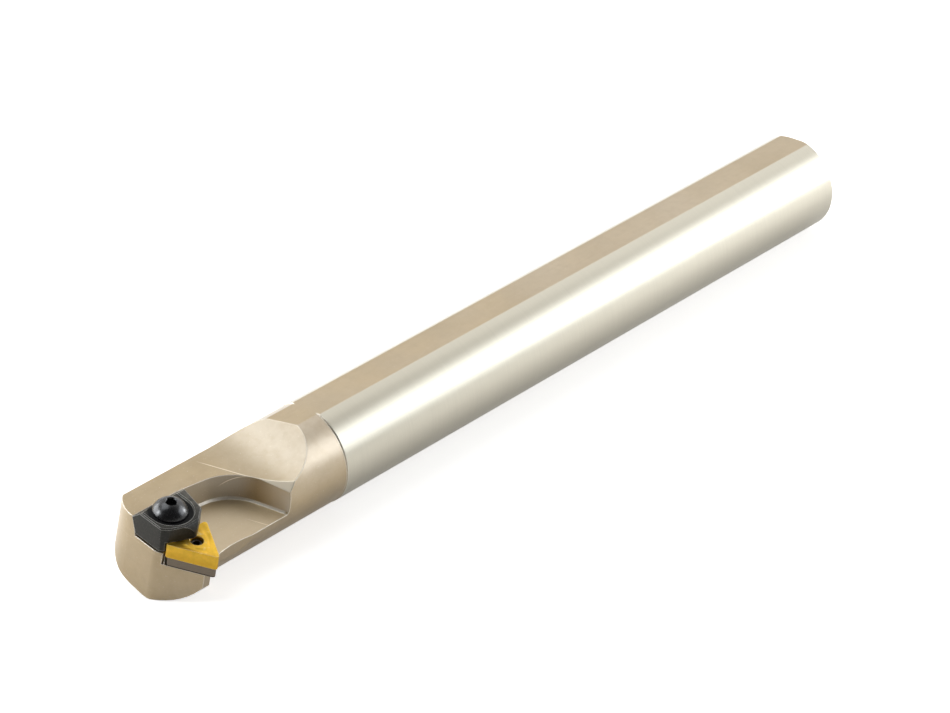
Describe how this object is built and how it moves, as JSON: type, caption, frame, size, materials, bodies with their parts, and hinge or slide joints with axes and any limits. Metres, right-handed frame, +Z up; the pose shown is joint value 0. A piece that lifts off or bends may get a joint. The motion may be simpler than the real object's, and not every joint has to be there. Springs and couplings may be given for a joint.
{
  "type": "indexable boring bar",
  "caption": "Round steel boring bar with two flats and a tilted head that clamps a triangular insert on a shim with a wedge and one screw.",
  "frame": {"origin": "on the bar's axis, at the centre of its flat rear face", "axes": "+X along the bar from the rear face to the head, +Y toward the cutting corner, which lies at the axis's height 22 mm off it, +Z up, square to the upper flat"},
  "size_m": [0.3, 0.0372, 0.032],
  "materials": {
    "bar_steel": "ground bright on the shank's round, matte champagne on the head and the flats",
    "shim_carbide": "ground dark grey",
    "coated_insert": "satin golden coating",
    "black_steel": "satin black oxide",
    "black_screw": "smooth black oxide"
  },
  "bodies": {
    "bar_body": {"bar": "bar_steel", "shim": "shim_carbide", "insert": "coated_insert", "lock_pin": "black_steel"},
    "clamp_body": {"wedge_clamp": "black_steel"},
    "screw_body": {"clamp_screw": "black_screw", "stop_ring": "black_steel"}
  },
  "joints": [
    {"name": "clamp_lift", "type": "slide", "parent": "bar_body", "child": "clamp_body", "axis": [0, 0.2419, 0.9703], "range_m": [0, 0.004]},
    {"name": "screw_turn", "type": "hinge", "parent": "clamp_body", "child": "screw_body", "pos_m": [0.29101, 0.00142, -0.00035], "axis": [0, 0.2419, 0.9703], "range_deg": [0, 1440]}
  ],
  "couplings": [
    {"joint": "screw_turn", "follows": "clamp_lift", "rad_per_m": 6283.2}
  ]
}
